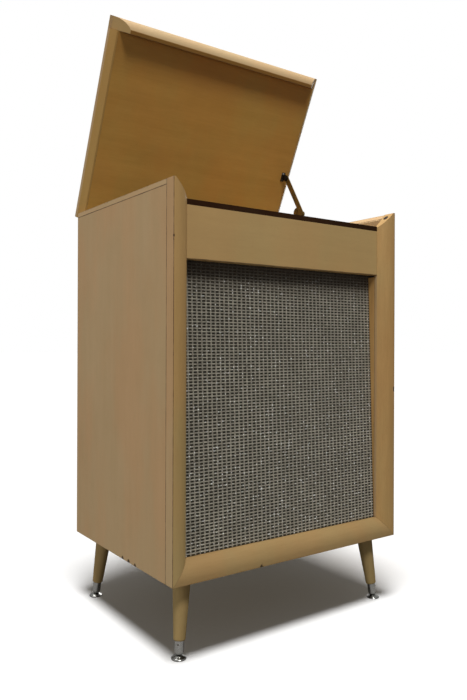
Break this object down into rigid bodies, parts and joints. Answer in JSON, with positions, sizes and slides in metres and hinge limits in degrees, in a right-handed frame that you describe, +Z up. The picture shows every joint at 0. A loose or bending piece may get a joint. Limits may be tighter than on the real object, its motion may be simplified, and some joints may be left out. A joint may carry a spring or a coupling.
{
  "type": "console record player",
  "caption": "Free-standing wooden record player cabinet on splayed legs, with a stayed lift-up lid, slanted cloth loudspeaker grille and record changer inside.",
  "frame": {"origin": "on the floor, midway across the width, 231.1 mm behind the front plane of the case, which is the middle of the depth with the lid open", "axes": "+X to the right seen from the front, +Y from the grille towards the back, +Z up"},
  "size_m": [0.59, 0.4622, 1.2887],
  "materials": {
    "blonde_wood": "satin lacquer",
    "warm_wood": "satin lacquer",
    "amber_wood": "satin lacquer",
    "pale_wood": "satin lacquer",
    "dark_strip": "dark stain",
    "inner_wood": "plain",
    "plywood": "plain",
    "hardboard": "plain",
    "leg_wood": "satin lacquer",
    "grille_cloth": "woven with metallic thread",
    "chrome": "polished",
    "steel": "zinc plated",
    "brass": "aged",
    "rubber": "matte",
    "dark_steel": "semi gloss",
    "cone_paper": "paper",
    "amp_steel": "plated",
    "tube_glass": "clear",
    "control_metal": "brushed gold",
    "cream_plastic": "gloss",
    "changer_paint": "hammered",
    "platter_paint": "hammered",
    "dark_plastic": "gloss"
  },
  "bodies": {
    "case": {"left_side_panel": "blonde_wood", "right_side_panel": "blonde_wood", "side_lippings": "blonde_wood", "left_stile": "warm_wood", "right_stile": "warm_wood", "bottom_rail": "warm_wood", "fascia_board": "warm_wood", "fascia_top_strip": "dark_strip", "grille_jambs": "inner_wood", "baffle_board": "plywood", "grille_cloth": "grille_cloth", "bottom_panel": "plywood", "back_panel": "hardboard", "back_screws": "steel", "hinge_rail": "inner_wood", "motor_board": "plywood", "case_cleats": "inner_wood", "lid_bumpers": "rubber", "hinge_case_leaves": "brass", "hinge_pins": "steel", "stay_wall_plate": "brass", "leg_front_left": "leg_wood", "leg_front_right": "leg_wood", "leg_rear_left": "leg_wood", "leg_rear_right": "leg_wood", "leg_plates": "steel", "leg_ferrules": "chrome", "speaker_basket": "dark_steel", "speaker_magnet": "dark_steel", "amp_chassis": "amp_steel", "amp_transformer": "dark_steel", "amp_tubes": "tube_glass", "power_inlet": "rubber", "control_plate": "control_metal", "changer_base": "changer_paint", "spindle": "chrome", "changer_motor": "dark_steel"},
    "lid": {"lid_panel": "amber_wood", "lid_end_lippings": "blonde_wood", "lid_moulding": "pale_wood", "hinge_lid_leaves": "brass", "stay_lid_bracket": "steel"},
    "stay_upper": {"stay_upper_arm": "brass"},
    "stay_lower": {"stay_lower_arm": "brass"},
    "glide_front_left": {"glide_front_left": "chrome"},
    "glide_front_right": {"glide_front_right": "chrome"},
    "glide_rear_left": {"glide_rear_left": "chrome"},
    "glide_rear_right": {"glide_rear_right": "chrome"},
    "turntable": {"platter": "platter_paint", "platter_mat": "rubber"},
    "idler": {"idler_wheel": "rubber"},
    "motor_rotor": {"motor_pulley": "brass"},
    "arm_turret": {"tonearm_turret": "changer_paint"},
    "tonearm": {"tonearm": "cream_plastic", "cartridge": "dark_plastic"},
    "record_arm": {"record_arm": "changer_paint"},
    "speed_lever": {"speed_lever": "cream_plastic"},
    "volume_knob": {"volume_knob": "cream_plastic"},
    "tone_knob": {"tone_knob": "cream_plastic"},
    "cone": {"speaker_cone": "cone_paper"}
  },
  "joints": [
    {"name": "lid_hinge", "type": "hinge", "parent": "case", "child": "lid", "pos_m": [0, 0.21486, 0.878], "axis": [1, 0, 0], "range_deg": [0, 64.5]},
    {"name": "stay_case_pivot", "type": "hinge", "parent": "case", "child": "stay_lower", "pos_m": [0.272, 0.15123, 0.77041], "axis": [1, 0, 0], "range_deg": [0, 64.5]},
    {"name": "stay_lid_pivot", "type": "hinge", "parent": "lid", "child": "stay_upper", "pos_m": [0.269, 0.12795, 1.0393], "axis": [1, 0, 0], "range_deg": [-64.5, 0]},
    {"name": "glide_front_left_swivel", "type": "hinge", "parent": "case", "child": "glide_front_left", "pos_m": [-0.26145, -0.1976, 0.0052], "axis": [0, 0, 1], "continuous": true},
    {"name": "glide_front_right_swivel", "type": "hinge", "parent": "case", "child": "glide_front_right", "pos_m": [0.26145, -0.1976, 0.0052], "axis": [0, 0, 1], "continuous": true},
    {"name": "glide_rear_left_swivel", "type": "hinge", "parent": "case", "child": "glide_rear_left", "pos_m": [-0.26145, 0.17931, 0.0052], "axis": [0, 0, 1], "continuous": true},
    {"name": "glide_rear_right_swivel", "type": "hinge", "parent": "case", "child": "glide_rear_right", "pos_m": [0.26145, 0.17931, 0.0052], "axis": [0, 0, 1], "continuous": true},
    {"name": "platter_spin", "type": "hinge", "parent": "case", "child": "turntable", "pos_m": [-0.098, 0.00886, 0.77], "axis": [0, 0, 1], "continuous": true},
    {"name": "idler_spin", "type": "hinge", "parent": "case", "child": "idler", "pos_m": [-0.01527, -0.03513, 0.76], "axis": [0, 0, 1], "continuous": true},
    {"name": "motor_spin", "type": "hinge", "parent": "case", "child": "motor_rotor", "pos_m": [-0.0334, -0.05457, 0.75], "axis": [0, 0, 1], "continuous": true},
    {"name": "tonearm_swing", "type": "hinge", "parent": "case", "child": "arm_turret", "pos_m": [0.04857, 0.12337, 0.765], "axis": [0, 0, 1], "range_deg": [-37, 0]},
    {"name": "tonearm_lift", "type": "hinge", "parent": "arm_turret", "child": "tonearm", "pos_m": [0.04857, 0.12337, 0.79], "axis": [-1, 0, 0], "range_deg": [-0.6, 12]},
    {"name": "record_arm_swing", "type": "hinge", "parent": "case", "child": "record_arm", "pos_m": [-0.232, 0.14086, 0.8], "axis": [0, 0, 1], "range_deg": [0, 46]},
    {"name": "speed_lever_turn", "type": "hinge", "parent": "case", "child": "speed_lever", "pos_m": [0.062, -0.11314, 0.755], "axis": [0, 0, 1], "range_deg": [-35, 35]},
    {"name": "volume_turn", "type": "hinge", "parent": "case", "child": "volume_knob", "pos_m": [0.192, -0.03114, 0.75], "axis": [0, 0, -1], "range_deg": [0, 300]},
    {"name": "tone_turn", "type": "hinge", "parent": "case", "child": "tone_knob", "pos_m": [0.192, 0.06886, 0.75], "axis": [0, 0, -1], "range_deg": [-150, 150]},
    {"name": "cone_travel", "type": "slide", "parent": "case", "child": "cone", "axis": [0, 0.9994, -0.0339], "range_m": [-0.002, 0.002], "stiffness_N_per_m": 3000}
  ],
  "couplings": [
    {"joint": "stay_case_pivot", "follows": "lid_hinge", "ratio": 1},
    {"joint": "stay_lid_pivot", "follows": "lid_hinge", "ratio": -1},
    {"joint": "idler_spin", "follows": "platter_spin", "ratio": 4.9167},
    {"joint": "motor_spin", "follows": "platter_spin", "ratio": -51.754}
  ]
}
